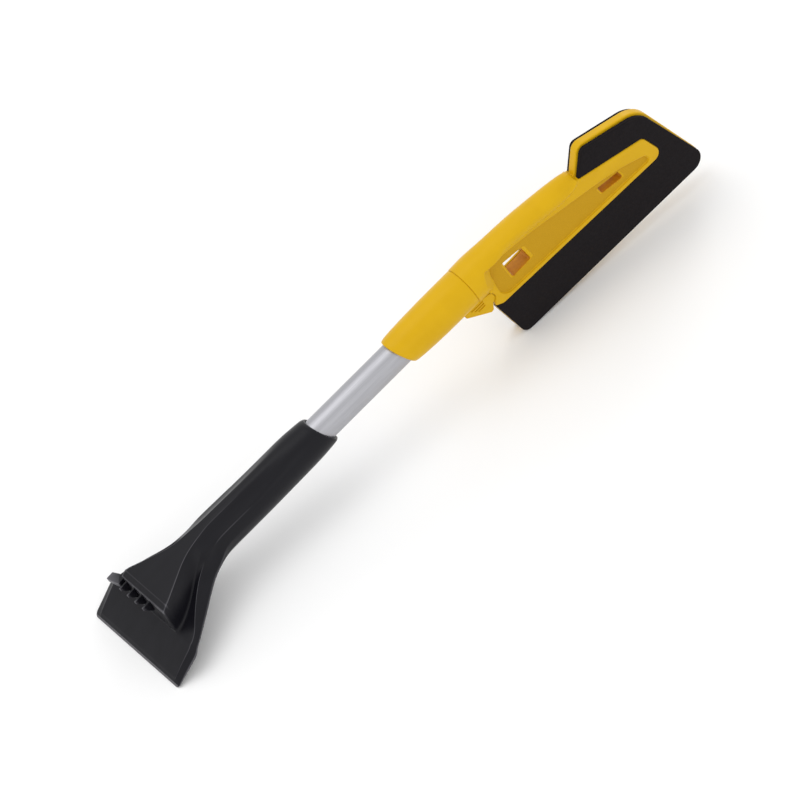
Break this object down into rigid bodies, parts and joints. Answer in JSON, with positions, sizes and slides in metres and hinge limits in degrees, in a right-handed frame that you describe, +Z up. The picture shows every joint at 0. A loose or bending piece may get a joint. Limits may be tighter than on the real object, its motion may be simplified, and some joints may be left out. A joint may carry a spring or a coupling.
{
  "type": "windshield ice scraper",
  "caption": "Hand tool with a wide plastic ice blade and toothed deck on a black grip, an aluminium tube, and a swivelling yellow head with a flat foam snow pusher.",
  "frame": {"origin": "centre of the bounding box at floor height, with the tool set down on its blade edge and the lower corner of its foam", "axes": "+X from the blade towards the foam head (the tube rises towards the head by 7 degrees), +Z up, front of the picture's view on -Y"},
  "size_m": [0.622, 0.1206, 0.127],
  "materials": {
    "black_plastic": "satin black moulded plastic",
    "yellow_plastic": "semi-gloss warm yellow moulded plastic",
    "satin_aluminium": "satin anodised tube",
    "black_foam": "closed-cell black foam sheet",
    "grey_plastic": "plain dark grey plastic, hidden",
    "black_rubber": "black rubber, hidden",
    "zinc_steel": "zinc-plated steel"
  },
  "bodies": {
    "handle": {"scraper_grip": "black_plastic", "handle_tube": "satin_aluminium", "tube_plug_lower": "grey_plastic", "tube_plug_upper": "grey_plastic", "collar": "yellow_plastic", "grip_screw": "zinc_steel", "collar_screw": "zinc_steel", "friction_ring": "black_rubber"},
    "head": {"head_frame": "yellow_plastic", "arm_rear_cover": "yellow_plastic", "cover_screw_1": "zinc_steel", "cover_screw_2": "zinc_steel", "cover_screw_3": "zinc_steel", "cover_screw_4": "zinc_steel", "foam_front": "black_foam", "foam_rear": "black_foam", "latch_pin": "zinc_steel", "latch_spring": "zinc_steel"},
    "latch": {"latch_lever": "yellow_plastic"}
  },
  "joints": [
    {"name": "head_swivel", "type": "hinge", "parent": "handle", "child": "head", "pos_m": [0.07537, 0, 0.08261], "axis": [0.9924, 0, 0.1227], "range_deg": [-90, 90]},
    {"name": "latch_release", "type": "hinge", "parent": "head", "child": "latch", "pos_m": [0.08792, 0, 0.05847], "axis": [0, -1, 0], "range_deg": [0, 6], "stiffness_Nm_per_rad": 0.05, "springref_deg": -20.05}
  ]
}
